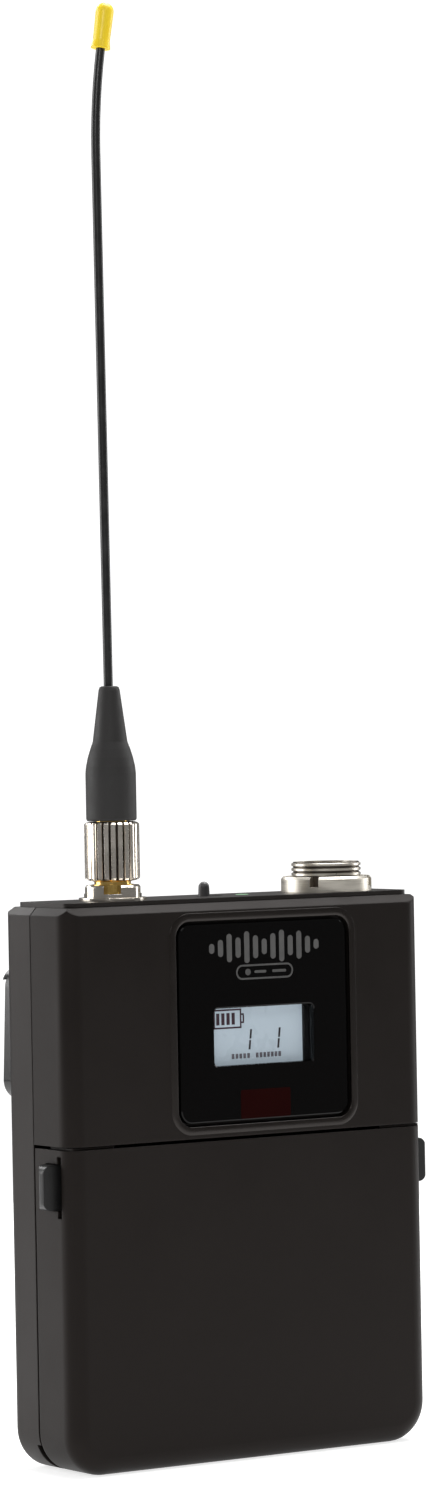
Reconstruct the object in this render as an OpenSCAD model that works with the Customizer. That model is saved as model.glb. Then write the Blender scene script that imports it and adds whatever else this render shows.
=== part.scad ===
// Wireless bodypack transmitter with a whip antenna, a hinged battery door and a belt clip.
// Millimetres. X runs along the width, -Y is the front, +Z is up.
// The origin is the middle of the base face.

/* [Case] */
// Width of the case
case_w = 66; // [56:0.5:80]
// Height of the case, base to top plate
case_h = 86; // [80:0.5:104]
// Depth of the case without the belt clip
case_d = 17.2; // [17:0.1:20.6]
// Radius of the long front edges
edge_r = 2.8; // [2:0.1:3.4]
// Radius of the long back edges
back_r = 1.6; // [1.2:0.1:2]
// Radius of the two bottom corners seen from the front
corner_r = 6.3; // [5.2:0.1:7.6]
// Thickness of the side and bottom walls
wall = 1.3; // [1.1:0.05:1.6]
// Distance of the side seam behind the middle of the depth
seam_y = 1.3; // [1.1:0.05:1.5]
// Height of the gap between front cover and battery door
door_top_z = 49.35; // [48.5:0.05:50.5]
// Width of that gap
door_gap = 0.5; // [0.4:0.05:0.6]
// Size of the bevel around the top rim
rim_bevel = 1.2; // [1:0.05:1.4]

/* [Window] */
// Width of the glossy window panel
lens_w = 31.2; // [29:0.1:33]
// Height of the glossy window panel
lens_h = 30.2; // [29:0.1:31]
// Corner radius of the window panel
lens_r = 2; // [1:0.1:3]
// Sideways offset of the window from the middle
lens_x = 2.9; // [2:0.1:3.4]
// Gap around the window panel
lens_gap = 0.5; // [0.3:0.05:0.7]
// Width of the display opening
lcd_w = 18.4; // [16:0.1:20]
// Height of the display opening
lcd_h = 8.7; // [7.5:0.1:9.5]

/* [Connectors] */
// Distance of the antenna jack to the left of the middle
jack_x = 18.8; // [18:0.1:21]
// Distance of the microphone connector to the right of the middle
mic_x = 21; // [20:0.1:21.5]
// Distance of the connectors in front of the middle of the depth
jack_y = 0; // [0:0.05:0.2]
// Thread diameter of the antenna jack, a quarter inch
jack_thread_d = 6.35; // [5.8:0.05:6.8]
// Pitch of the antenna thread, 36 to the inch
thread_pitch = 0.7056; // [0.6:0.0001:0.8]
// Radial clearance of the antenna nut on its jack
nut_clear = 0.07; // [0.03:0.01:0.1]
// Thread diameter of the microphone connector
mic_thread_d = 10.85; // [9:0.05:13.05]
// Outer diameter of the slotted ring nut
mic_nut_d = 14.15; // [13:0.05:15]

/* [Antenna] */
// Height of the whip tip above the top plate
antenna_h = 136.3; // [110:0.5:164]
// Diameter of the knurled nut
knurl_d = 8.4; // [8:0.05:9]
// Diameter of the whip
whip_d = 1.4; // [1.2:0.05:1.7]

/* [Batteries] */
// Diameter of an AA cell
cell_d = 14.2; // [11.8:0.05:14.4]
// Length of an AA cell with its button
cell_l = 50.5; // [49:0.1:51]

/* [Moving parts] */
// Height of the door latches
latch_h = 6.8; // [5.6:0.1:8.2]
// How far a latch stands out of the door
latch_out = 2.5; // [2:0.1:2.9]
// Height of the latch centre
latch_z = 43.5; // [43:0.1:43.8]
// Side clearance of a latch or button in its opening
slide_clear = 0.12; // [0.08:0.01:0.2]
// Radius of the hinge barrels
hinge_r = 1.9; // [1.6:0.05:2]
// Diameter of the hinge pin
pin_d = 1.4; // [1.2:0.05:1.5]
// Radial clearance of the pin in the door barrels
pin_clear = 0.05; // [0.02:0.01:0.1]
// Width of a menu button
key_w = 7.4; // [6:0.1:8.6]

/* [Belt clip] */
// Depth from the front of the case to the back of the clip
overall_d = 23; // [22.6:0.1:26.5]
// Thickness of the clip spring steel
clip_t = 1.1; // [0.9:0.05:1.3]
// Width of the clip mouth
clip_w = 60; // [50:0.5:62]

/* [Fasteners] */
// Diameter of the case screws
screw_d = 2; // [1.6:0.05:2.2]

/* [Hidden] */

$fn = 48;
eps = 0.01;
hw = case_w / 2;
y0 = -case_d / 2;
y1 = case_d / 2;
front_wall = 1.1;
back_wall = 1.2;
plate_t = 1.4;
plate_z = case_h - plate_t;
rim_z = case_h - 0.7;
ledge = 1.2;
cover_z0 = door_top_z + door_gap / 2;
door_z1 = door_top_z - door_gap / 2;
door_y1 = seam_y - 0.35;

lens_z = case_h - 3.9 - lens_h / 2;
lens_t = 0.95;
gasket_t = 0.2;
lens_y = y0 + 0.1;
pocket_y = lens_y + lens_t + gasket_t;
pocket_back = pocket_y + 0.8;
lcd_z = lens_z - 2.25;
ir_w = 9.3;
ir_h = 4.1;
ir_z = lens_z - lens_h / 2 + 0.4 + ir_h / 2;
frame_w = lcd_w + 5.6;
frame_h = lcd_h + 5.8;
frame_t = 3.6;

board_y = 2;
board_t = 1.2;
board_z0 = 38.2;
board_z1 = case_h - 14;
board_hw = hw - 7;
post_x = board_hw - 3.4;
post_zs = [board_z0 + 3.2, board_z1 - 5.5];
boss_x = hw - 4.1;
boss_low_z = cover_z0 + 3.9;
boss_high_z = case_h - 5.5;
boss_r = screw_d / 2 + 1.2;
lug_t = 1.2;
lug_y = seam_y - lug_t - 0.1;

hinge_y = 0;
hinge_z = hinge_r;
hinge_cut_y = hinge_y + hinge_r + 0.45;
hinge_cut_z = hinge_z + hinge_r + 0.4;
knuckle_x = 12;
knuckle_w = 8;
barrel_hw = 24;

tray_z0 = 5.3;
cell_y = -0.15;
cell_pitch = cell_d + 0.6;
cell_z = [tray_z0 + 0.6 + cell_d / 2 + 0.15, tray_z0 + 0.6 + cell_d / 2 + 0.15 + cell_pitch];
tray_z1 = cell_z[1] + cell_d / 2 + 1.0;
tray_in = hw - 4.4;
tray_out = hw - wall - 0.9;
contact_t = 0.4;
dimple = 0.8;
cell_shift = tray_in - contact_t - dimple - cell_l / 2;

pocket_hh = latch_h / 2 + 1.75;
latch_in = hw - 5;
latch_y0 = y0 + 2.4;
latch_y1 = y0 + 6.6;
latch_face_y = y0 + 3.4;
flange_x = hw - wall - 0.9;
retainer_y = latch_y1 + slide_clear;
latch_travel = 1.4;
hook_y1 = seam_y + 1.9;

key_y = y0 + 1.5;
key_panel_y = y0 + 2.4;
key_panel_t = 1.0;
key_pitch = 11;
key_h = 4.6;
key_z = 43.6;
key_travel = 0.4;
house_hw = hw - 9.5;
house_z0 = board_z0 + 0.2;
house_z1 = door_z1 - 0.3;

switch_x = -2.1;
mic_nut_h = 2.4;
mic_pitch = 0.75;
mic_thread_depth = 0.3;
mic_body_d = mic_thread_d - 2 * mic_thread_depth;
nut_z0 = case_h + 2.95;
nut_h = 9;
jack_turns = 5;
jack_top = nut_z0 - 0.1 + jack_turns * thread_pitch;
nut_thread_h = jack_top - nut_z0 + 0.95;
boot_z = nut_z0 + nut_h + 0.1;
boot_h = 20.45;
whip_lean = 0.35;
bend_r = 100;
bend_a = 9.2;
bend_z = case_h + antenna_h - 23;

clip_y = overall_d - case_d / 2;
clip_bend_r = (clip_y - y1) / 2;
clip_room = clip_y - y1 - clip_t;
clip_lean = clip_room / 4.7;
clip_bend_z = 13;
clip_top = case_h - 10.5;
paddle_h = 20;
strap_w = 34;
foot_top = 26;
clip_screw_x = 9;
valley_z = (cell_z[0] + cell_z[1]) / 2;
clip_screw_z = valley_z;

// ---------- shared shapes ----------

module round_rect(w, h, r) {
  square([w - 2 * r, h], center = true);
  square([w, h - 2 * r], center = true);
  for (sx = [-1, 1], sy = [-1, 1])
    translate([sx * (w / 2 - r), sy * (h / 2 - r)]) circle(r);
}

// one side of the case section, from x = 0 to x = u
module side_section(u, a, b, rf, rb) {
  intersection() {
    union() {
      translate([0, a + rf]) square([u, b - a - rf - rb]);
      translate([0, a]) square([u - rf, rf + eps]);
      translate([u - rf, a + rf]) circle(rf);
      translate([0, b - rb - eps]) square([u - rb, rb + eps]);
      translate([u - rb, b - rb]) circle(rb);
    }
    translate([0, a]) square([u, b - a]);
  }
}

// pillow-edged slab: width 2u, depth a..b, from z0 up to z1, bottom corners of radius rc
module slab(u, a, b, z0, z1, rf, rb, rc) {
  translate([0, 0, z0 + rc]) linear_extrude(z1 - z0 - rc)
    for (s = [0, 1]) mirror([s, 0, 0]) side_section(u, a, b, rf, rb);
  translate([-(u - rc), 0, z0 + rc]) rotate([0, 90, 0])
    linear_extrude(2 * (u - rc)) side_section(rc, a, b, rf, rb);
  for (s = [0, 1]) mirror([s, 0, 0])
    translate([u - rc, 0, z0 + rc]) rotate([-90, 0, 0])
      rotate_extrude(angle = 90) side_section(rc, a, b, rf, rb);
}

module case_solid() {
  difference() {
    slab(hw, y0, y1, 0, rim_z, edge_r, back_r, corner_r);
    for (s = [0, 1]) mirror([s, 0, 0])
      translate([hw - rim_bevel, 0, rim_z]) rotate([0, 45, 0])
        translate([0, -case_d, 0]) cube([8, 2 * case_d, 8]);
    translate([0, y0 + rim_bevel, rim_z]) rotate([45, 0, 0])
      translate([-case_w, -8, 0]) cube([2 * case_w, 8, 8]);
    translate([0, y1 - rim_bevel, rim_z]) rotate([-45, 0, 0])
      translate([-case_w, 0, 0]) cube([2 * case_w, 8, 8]);
  }
}

module case_hollow() {
  slab(hw - wall, y0 + front_wall, y1 - back_wall, wall, plate_z - ledge,
    edge_r - wall, 0.6, corner_r - wall);
  slab(hw - wall - ledge, y0 + front_wall + ledge, y1 - back_wall - ledge, wall + 4, case_h,
    0.6, 0.4, 1.2);
  top_recess(0.1);
}

module top_recess(gap) {
  translate([0, 0, plate_z]) linear_extrude(case_h)
    round_rect(case_w - 2 * wall - 0.2 + 2 * gap, case_d - 2 * rim_bevel - 0.4 + 2 * gap, 1.5 + gap);
}

// box given by its lower and upper corners
module span(p, q) {
  translate(p) cube([q[0] - p[0], q[1] - p[1], q[2] - p[2]]);
}

// cylinder along +Y from y = a to y = b
module ycyl(x, z, a, b, r) {
  translate([x, a, z]) rotate([-90, 0, 0]) cylinder(r = r, h = b - a);
}

// cylinder along +X
module xcyl(y, z, a, b, r) {
  translate([a, y, z]) rotate([0, 90, 0]) cylinder(r = r, h = b - a);
}

// height of a coil after t turns: closed ends and an even pitch between them
function climb(t, turns, wire, len) =
  let(e = 0.8, d = 2 * wire, free = len - 2 * wire)
  t < e ? d * t / e :
  t > turns - e ? free - d * (turns - t) / e :
  d + (t - e) * (free - 2 * d) / (turns - 2 * e);

// coil spring along +Z, wire is the wire's radius
module coil(r, wire, len, turns) {
  n = 16;
  m = 6;
  steps = n * turns;
  pts = [for (k = [0:steps], j = [0:m - 1])
    let(a = 360 * k / n, b = 360 * j / m, rho = r + wire * cos(b))
    [rho * cos(a), rho * sin(a), wire + climb(k / n, turns, wire, len) + wire * sin(b)]];
  skin = [for (k = [0:steps - 1], j = [0:m - 1])
    [k * m + j, k * m + (j + 1) % m, (k + 1) * m + (j + 1) % m, (k + 1) * m + j]];
  ends = [[for (j = [m - 1:-1:0]) j], [for (j = [0:m - 1]) steps * m + j]];
  polyhedron(pts, concat(skin, ends), convexity = 8);
}

module boss_positions() {
  for (sx = [-1, 1]) translate([sx * boss_x, 0, 0]) children();
}

// ---------- case ----------

module rear_shell() {
  color([0.17, 0.165, 0.16]) difference() {
    union() {
      intersection() {
        difference() { case_solid(); case_hollow(); }
        span([-case_w, seam_y, -1], [case_w, case_d, case_h + 1]);
      }
      boss_positions() {
        ycyl(0, boss_low_z, seam_y, y1 - 0.6, boss_r);
        ycyl(0, boss_high_z, seam_y, y1 - 0.6, boss_r);
      }
      for (sx = [-1, 1]) {
        for (z = post_zs) ycyl(sx * post_x, z, board_y + board_t, y1 - 0.6, 2.2);
        ycyl(sx * clip_screw_x, clip_screw_z, y1 - 3.3, y1 - 0.6, 2.3);
        knuckle(sx);
      }
    }
    hinge_relief();
    for (sx = [-1, 1]) {
      xcyl(hinge_y, hinge_z, sx * (knuckle_x + knuckle_w / 2) - knuckle_w,
        sx * (knuckle_x + knuckle_w / 2) + knuckle_w, pin_d / 2);
      for (z = [boss_low_z, boss_high_z]) {
        ycyl(sx * boss_x, z, seam_y - 1, y1 + 1, screw_d / 2 + 0.1);
        ycyl(sx * boss_x, z, y1 - 1.5, y1 + 1, screw_d + 0.15);
      }
      for (z = post_zs) ycyl(sx * post_x, z, board_y, y1 - 1.6, 0.8);
      ycyl(sx * clip_screw_x, clip_screw_z, y1 - 2.9, y1 + 1, 1.25);
      latch_notch(sx);
    }
  }
}

module knuckle(sx) {
  xc = sx * (knuckle_x + knuckle_w / 2);
  translate([xc - knuckle_w / 2, 0, 0]) {
    xcyl(hinge_y, hinge_z, 0, knuckle_w, hinge_r - 0.1);
    span([0, hinge_y, 0.1], [knuckle_w, hinge_cut_y + 2, hinge_z]);
  }
}

// space in front of the shell that the door barrel turns through, clear of the fixed knuckles
module hinge_relief() {
  kx = knuckle_x;
  for (r = [[-case_w, -kx - knuckle_w], [-kx, kx], [kx + knuckle_w, case_w]])
    span([r[0], -case_d, -1], [r[1], hinge_cut_y, hinge_cut_z]);
}

// window in the shell's side wall that the latch nose reaches into
module latch_notch(sx) {
  x = hw - wall;
  mirror([sx < 0 ? 1 : 0, 0, 0])
    span([x - 0.5, seam_y - 1, latch_z - 2.4], [x + 0.75, hook_y1 + 0.3, latch_z + 2.6]);
}

module front_cover() {
  color([0.17, 0.165, 0.16]) difference() {
    union() {
      intersection() {
        difference() { case_solid(); case_hollow(); }
        span([-case_w, -case_d, cover_z0], [case_w, seam_y - 0.15, case_h + 1]);
      }
      span([-hw + wall - 0.2, y0 + front_wall - 0.2, cover_z0],
        [hw - wall + 0.2, seam_y - 0.15, cover_z0 + 1]);
      translate([lens_x, y0 + front_wall - 0.2, lens_z]) rotate([-90, 0, 0])
        linear_extrude(pocket_back - y0 - front_wall + 0.2)
          round_rect(lens_w + 3, lens_h + 3, lens_r + 1);
      boss_positions() {
        ycyl(0, boss_low_z, y0 + 0.6, seam_y, boss_r);
        ycyl(0, boss_high_z, y0 + 0.6, lug_y - 0.1, boss_r);
      }
    }
    translate([lens_x, y0 - 1, lens_z]) rotate([-90, 0, 0])
      linear_extrude(pocket_y - y0 + 1)
        round_rect(lens_w + 2 * lens_gap, lens_h + 2 * lens_gap, lens_r + lens_gap);
    translate([lens_x, y0, lcd_z]) rotate([-90, 0, 0])
      linear_extrude(4) round_rect(lcd_w + 1.2, lcd_h + 1.2, 1);
    span([lens_x - ir_w / 2 + 0.5, y0, ir_z - ir_h / 2 + 0.8],
      [lens_x + ir_w / 2 - 0.5, pocket_back + 1, ir_z + ir_h / 2 - 0.3]);
    boss_positions() {
      ycyl(0, boss_low_z, y0 + 2.6, seam_y + 1, screw_d / 2);
      ycyl(0, boss_high_z, y0 + 2.6, seam_y + 1, screw_d / 2);
    }
  }
}

module top_plate() {
  color([0.19, 0.185, 0.18]) difference() {
    union() {
      intersection() {
        top_recess(0);
        span([-case_w, -case_d, plate_z], [case_w, case_d, case_h]);
      }
      boss_positions() span([-1.55, lug_y, boss_high_z - 2.4], [1.55, lug_y + lug_t, plate_z]);
    }
    boss_positions() ycyl(0, boss_high_z, lug_y - 1, seam_y + 1, screw_d / 2 + 0.15);
    translate([-jack_x, -jack_y, plate_z - 1]) cylinder(d = jack_thread_d + 0.15, h = 4);
    translate([mic_x, -jack_y, plate_z - 1]) cylinder(d = mic_thread_d + 0.15, h = 4);
    translate([switch_x + 1, -jack_y, plate_z - 1]) linear_extrude(4) round_rect(4.6, 2.3, 1.1);
    translate([5, -jack_y, plate_z - 1]) cylinder(d = 2.1, h = 4);
  }
}

module battery_door() {
  color([0.17, 0.165, 0.16]) difference() {
    union() {
      intersection() {
        difference() { case_solid(); case_hollow(); }
        span([-case_w, -case_d, -1], [case_w, door_y1, door_z1]);
      }
      span([-hw + edge_r, y0 + 0.5, door_z1 - 0.9], [hw - edge_r, y0 + front_wall + 0.4, door_z1]);
      for (s = [0, 1]) mirror([s, 0, 0]) latch_pocket();
      for (r = door_barrels()) {
        xcyl(hinge_y, hinge_z, r[0], r[1], hinge_r);
        span([r[0], hinge_y - 3, 0], [r[1], hinge_y, wall]);
      }
    }
    for (s = [-1, 1]) {
      x = s * (knuckle_x + knuckle_w / 2);
      span([x - knuckle_w / 2 - 0.2, hinge_y - hinge_r - 0.4, -1],
        [x + knuckle_w / 2 + 0.2, case_d, hinge_cut_z]);
      mirror([s < 0 ? 1 : 0, 0, 0]) latch_opening();
    }
    xcyl(hinge_y, hinge_z, -barrel_hw - 1, barrel_hw + 1, pin_d / 2 + pin_clear);
  }
}

function door_barrels() = [
  [-barrel_hw, -knuckle_x - knuckle_w - 0.2], [-knuckle_x + 0.2, knuckle_x - 0.2],
  [knuckle_x + knuckle_w + 0.2, barrel_hw]];

// ribs above and below the latch and the wall that its spring pushes on
module latch_pocket() {
  x0 = latch_in - 3.4;
  for (s = [-1, 1]) {
    z = latch_z + s * (pocket_hh + 0.45);
    span([x0, y0 + 0.6, z - 0.4], [hw - wall + 0.3, retainer_y, z + 0.4]);
  }
  span([x0, y0 + 0.6, latch_z - pocket_hh - 0.4], [x0 + 0.9, retainer_y, latch_z + pocket_hh + 0.4]);
}

// T-shaped hole in the door's side wall
module latch_opening() {
  hh = latch_h / 2 + slide_clear;
  span([hw - wall - 0.2, latch_face_y - slide_clear, latch_z - hh], [hw + 1, latch_y1, latch_z + hh]);
  span([hw - wall - 0.2, latch_face_y - 1, latch_z - hh - 1.1],
    [hw + 1, latch_face_y, latch_z + hh + 1.1]);
}

module door_pad() {
  color([0.08, 0.08, 0.08])
    span([-18, y0 + front_wall, valley_z - 1.6], [18, y0 + front_wall + 2.6, valley_z + 1.6]);
}

module hinge_pin() {
  color([0.7, 0.7, 0.72]) xcyl(hinge_y, hinge_z, -barrel_hw + 0.4, barrel_hw - 0.4, pin_d / 2);
}

// ---------- door latches ----------

module latch() {
  c = slide_clear;
  hh = latch_h / 2;
  color([0.09, 0.09, 0.09]) difference() {
    union() {
      intersection() {
        translate([0, -case_d, latch_z]) rotate([-90, 0, 0]) linear_extrude(2 * case_d)
          translate([hw - wall, 0]) round_rect(2 * (latch_out + wall), latch_h, 1.3);
        latch_thumb();
      }
      span([latch_in, latch_y0 + 1, latch_z - hh], [hw - wall + 0.5, latch_y1 - c, latch_z + hh]);
      span([flange_x - 0.9, latch_y0, latch_z - pocket_hh + c],
        [flange_x + 0.9 - c, latch_y1, latch_z + pocket_hh - c]);
      span([latch_in + 1.2, latch_y1 - 1, latch_z - 2], [flange_x + 0.5, hook_y1, latch_z + 2]);
      translate([flange_x + 0.4, 0, latch_z - 2]) linear_extrude(4)
        polygon([[0, hook_y1 - 1.2], [1.05, hook_y1 - 1.1], [1.05, hook_y1 - 0.7], [0, hook_y1]]);
    }
    xcyl((latch_face_y + latch_y1) / 2, latch_z, latch_in - 1, latch_in + 2.6, 1.45);
  }
}

// thumb piece in plan: flat front, curved slope down to the wall at the back
module latch_thumb() {
  b = latch_y1 - slide_clear - 0.1;
  f = latch_face_y;
  translate([0, 0, latch_z - latch_h]) linear_extrude(2 * latch_h) {
    translate([hw - wall, f]) square([wall, b - f]);
    intersection() {
      translate([hw - 0.3, f]) square([latch_out + 0.3, b - f]);
      translate([hw - 0.3, f + 0.6]) scale([1, (b - f - 0.6) / (latch_out + 0.3)])
        circle(latch_out + 0.3);
    }
    translate([hw - 0.3, f]) square([latch_out, 0.6]);
  }
}

module latch_right() { latch(); }
module latch_left() { mirror([1, 0, 0]) latch(); }

module latch_spring() {
  len = latch_in + 2.6 - (latch_in - 2.5);
  color([0.75, 0.75, 0.77])
    translate([latch_in - 2.5, (latch_face_y + latch_y1) / 2, latch_z])
      rotate([0, 90, 0]) coil(1.05, 0.16, len, 6);
}

module latch_spring_right() { latch_spring(); }
module latch_spring_left() { mirror([1, 0, 0]) latch_spring(); }

module latch_retainer() {
  h = pocket_hh + 0.85;
  color([0.62, 0.62, 0.64]) difference() {
    span([latch_in - 3.4, retainer_y, latch_z - h], [hw - wall - 0.1, retainer_y + 0.5, latch_z + h]);
    span([latch_in + 1.2 - latch_travel - 0.2, retainer_y - 1, latch_z - 2.2],
      [hw, retainer_y + 1, latch_z + 2.2]);
  }
}

module latch_retainer_right() { latch_retainer(); }
module latch_retainer_left() { mirror([1, 0, 0]) latch_retainer(); }

// ---------- window and display ----------

module lens_plate(w, h, r, a, t) {
  translate([lens_x, a, lens_z]) rotate([-90, 0, 0]) linear_extrude(t) round_rect(w, h, r);
}

module window_lens() {
  color([0.03, 0.03, 0.035]) difference() {
    lens_plate(lens_w, lens_h, lens_r, lens_y, lens_t);
    translate([lens_x, lens_y - 1, ir_z]) rotate([-90, 0, 0])
      linear_extrude(3) square([ir_w + 0.1, ir_h + 0.1], center = true);
  }
}

module window_gasket() {
  color([0.12, 0.12, 0.12]) difference() {
    lens_plate(lens_w - 0.4, lens_h - 0.4, lens_r - 0.2, lens_y + lens_t, gasket_t);
    translate([lens_x, y0, lcd_z]) rotate([-90, 0, 0])
      linear_extrude(4) square([lcd_w + 2, lcd_h + 2], center = true);
    translate([lens_x, y0, ir_z]) rotate([-90, 0, 0])
      linear_extrude(4) square([ir_w - 0.8, ir_h - 1], center = true);
  }
}

module ir_window() {
  color([0.22, 0.02, 0.03]) translate([lens_x, lens_y, ir_z]) rotate([-90, 0, 0])
    linear_extrude(lens_t) square([ir_w, ir_h], center = true);
}

module ir_transceiver() {
  color([0.12, 0.1, 0.12]) {
    span([lens_x - 4, pocket_back + 2.2, ir_z - 1.2], [lens_x + 4, board_y, ir_z + 2.4]);
    for (s = [-1, 1]) ycyl(lens_x + s * 2.1, ir_z + 0.6, pocket_back + 1.2, pocket_back + 2.3, 1.3);
  }
}

module display_frame() {
  y = pocket_back;
  color([0.14, 0.14, 0.15]) difference() {
    span([lens_x - frame_w / 2, y, lcd_z - frame_h / 2],
      [lens_x + frame_w / 2, y + frame_t, lcd_z + frame_h / 2]);
    span([lens_x - frame_w / 2 + 0.6, y + 0.3, lcd_z - frame_h / 2 + 0.6],
      [lens_x + frame_w / 2 - 0.6, y + frame_t - 0.4, lcd_z + frame_h / 2 - 0.6]);
    span([lens_x - lcd_w / 2 - 0.4, y - 1, lcd_z - lcd_h / 2 - 0.4],
      [lens_x + lcd_w / 2 - 0.6, y + 1, lcd_z + lcd_h / 2 + 0.4]);
    span([lens_x - 5.1, y + 1.2, lcd_z - frame_h / 2 - 1],
      [lens_x + 5.1, y + 2.2, lcd_z - frame_h / 2 + 1]);
  }
}

module display_glass() {
  y = pocket_back + 0.3;
  color([0.72, 0.8, 0.86]) span([lens_x - frame_w / 2 + 0.7, y, lcd_z - frame_h / 2 + 0.7],
    [lens_x + frame_w / 2 - 0.7, y + 1.1, lcd_z + frame_h / 2 - 0.7]);
}

module display_backlight() {
  y = pocket_back + 1.4;
  color([0.92, 0.94, 0.96]) span([lens_x - frame_w / 2 + 0.9, y, lcd_z - frame_h / 2 + 2],
    [lens_x + frame_w / 2 - 0.9, y + 1.5, lcd_z + frame_h / 2 - 0.9]);
}

module display_ribbon() {
  y = pocket_back + 1.55;
  zb = lcd_z - frame_h / 2;
  color([0.75, 0.45, 0.12]) translate([lens_x - 4.5, 0, 0]) rotate([90, 0, 90]) linear_extrude(9) {
    translate([y, zb - 0.4]) square([0.2, 2.3]);
    translate([y, zb - 0.6]) square([board_y - y - 0.9, 0.2]);
    translate([board_y - 1.1, zb - 0.6]) square([0.2, 2.4]);
  }
}

// ---------- boards ----------

module main_board() {
  color([0.05, 0.3, 0.17]) difference() {
    span([-board_hw, board_y, board_z0], [board_hw, board_y + board_t, board_z1]);
    for (sx = [-1, 1], z = post_zs) ycyl(sx * post_x, z, board_y - 1, board_y + 4, 0.95);
  }
}

module board_components() {
  b = board_y + board_t;
  color([0.13, 0.13, 0.14]) {
    for (c = [[-19, 55.2, 8, 8, 1.2], [-16.5, 63.5, 6, 5, 1], [17.5, 61.5, 6, 8, 1.3], [18, 54, 4, 5, 1.6],
        [-9, 53.5, 4.5, 3, 1]])
      span([c[0] - c[2] / 2, board_y - c[4], c[1] - c[3] / 2], [c[0] + c[2] / 2, board_y, c[1] + c[3] / 2]);
    span([lens_x - 5.5, board_y - 1.4, lcd_z - frame_h / 2 + 1.9],
      [lens_x + 5.5, board_y, lcd_z - frame_h / 2 + 4.5]);
    for (c = [[11, 66, 9, 7, 1.6], [12, 53, 7, 7, 1.4], [12, 43, 9, 4, 1.8]])
      span([c[0] - c[2] / 2, b, c[1] - c[3] / 2], [c[0] + c[2] / 2, b + c[4], c[1] + c[3] / 2]);
  }
}

module shield_can() {
  b = board_y + board_t;
  color([0.78, 0.78, 0.8]) difference() {
    span([-19, b, 46], [2, b + 2.6, board_z1 - 1]);
    span([-18.7, b - 1, 46.3], [1.7, b + 2.3, board_z1 - 1.3]);
  }
}

module board_screws() {
  color([0.7, 0.7, 0.72]) for (sx = [-1, 1], z = post_zs) {
    ycyl(sx * post_x, z, board_y, y1 - 1.9, 0.8);
    difference() {
      ycyl(sx * post_x, z, board_y - 1.1, board_y, 1.6);
      ycyl(sx * post_x, z, board_y - 2, board_y - 0.6, 0.5);
    }
  }
}

module button_housing() {
  color([0.11, 0.11, 0.115]) difference() {
    span([-house_hw, key_panel_y, house_z0], [house_hw, board_y, house_z1]);
    span([-house_hw + 1, key_panel_y + key_panel_t, house_z0 + 0.9], [house_hw - 1, case_d, house_z1 - 0.9]);
    for (i = [0:3]) translate([(i - 1.5) * key_pitch, key_panel_y - 1, key_z]) rotate([-90, 0, 0])
      linear_extrude(4) round_rect(key_w + 2 * slide_clear, key_h + 2 * slide_clear, 1.6);
    for (sx = [-1, 1]) ycyl(sx * post_x, post_zs[0], board_y - 1.5, board_y + 1, 2);
  }
}

module key(i) {
  back = key_panel_y + key_panel_t;
  color([0.2, 0.2, 0.21]) translate([(i - 1.5) * key_pitch, 0, key_z]) {
    translate([0, key_y, 0]) rotate([-90, 0, 0]) linear_extrude(back - key_y + 0.2)
      round_rect(key_w, key_h, 1.5);
    translate([0, back + 0.1, 0]) rotate([-90, 0, 0]) linear_extrude(0.7)
      round_rect(key_w + 1.4, key_h + 1.4, 1);
    ycyl(0, 0, back + 0.5, -2.15, 1.3);
  }
}

module key_menu() { key(0); }
module key_enter() { key(1); }
module key_down() { key(2); }
module key_up() { key(3); }

module key_switches() {
  color([0.6, 0.6, 0.62]) for (i = [0:3]) translate([(i - 1.5) * key_pitch, 0, key_z]) {
    span([-2.2, -0.7, -2.2], [2.2, board_y, 2.2]);
    ycyl(0, 0, -1.6, -0.6, 1.1);
  }
}

// ---------- power switch ----------

module switch_body() {
  color([0.1, 0.1, 0.1]) difference() {
    span([switch_x - 3.3, -jack_y - 2.6, plate_z - 4.6], [switch_x + 5.3, -jack_y + 2.6, plate_z]);
    span([switch_x - 1.4, -jack_y - 1.2, plate_z - 1.9], [switch_x + 3.4, -jack_y + 1.2, plate_z + 1]);
  }
}

module switch_nub() {
  color([0.16, 0.16, 0.165]) translate([switch_x, -jack_y, 0]) {
    translate([0, 0, plate_z - 1.8]) linear_extrude(1.2) round_rect(2.4, 2.2, 0.4);
    translate([0, 0, plate_z - 0.7]) cylinder(r1 = 0.98, r2 = 0.84, h = plate_t + 2.1, $fn = 40);
    translate([0, 0, case_h + 1.4]) sphere(r = 0.84, $fn = 28);
  }
}

module power_light() {
  color([0.85, 0.9, 0.85]) {
    translate([5, -jack_y, plate_z - 2.4]) cylinder(d = 2, h = plate_t + 2.45);
    translate([5, -jack_y, plate_z - 2.4]) cylinder(d = 3, h = 1.6);
  }
}

// ---------- antenna connector ----------

module at_jack() { translate([-jack_x, -jack_y, 0]) children(); }

// thread drawn as rings with flat crests, root below and n crests of pitch p
module ring_thread(d, z0, n, p, depth) {
  translate([0, 0, z0]) cylinder(d = d - 2 * depth, h = n * p);
  for (i = [0:n - 1]) translate([0, 0, z0 + i * p]) {
    cylinder(d1 = d - 2 * depth, d2 = d, h = 0.2 * p);
    translate([0, 0, 0.2 * p]) cylinder(d = d, h = 0.45 * p);
    translate([0, 0, 0.65 * p]) cylinder(d1 = d, d2 = d - 2 * depth, h = 0.2 * p);
  }
}

module jack_body() {
  color([0.83, 0.63, 0.25]) at_jack() difference() {
    union() {
      translate([0, 0, plate_z - 1]) cylinder(d = 9, h = 1);
      translate([0, 0, plate_z - 7.2]) cylinder(d = 6.2, h = 6.4);
      translate([0, 0, plate_z - 0.5]) cylinder(d = jack_thread_d, h = case_h + 2.4 - plate_z + 0.5);
      translate([0, 0, case_h + 2.3]) cylinder(d = jack_thread_d - 0.75, h = nut_z0 - case_h - 2.3);
      ring_thread(jack_thread_d, nut_z0 - 0.1, jack_turns, thread_pitch, 0.25);
    }
    translate([0, 0, plate_z - 8]) cylinder(d = 4.1, h = jack_top - plate_z + 9);
  }
}

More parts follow.
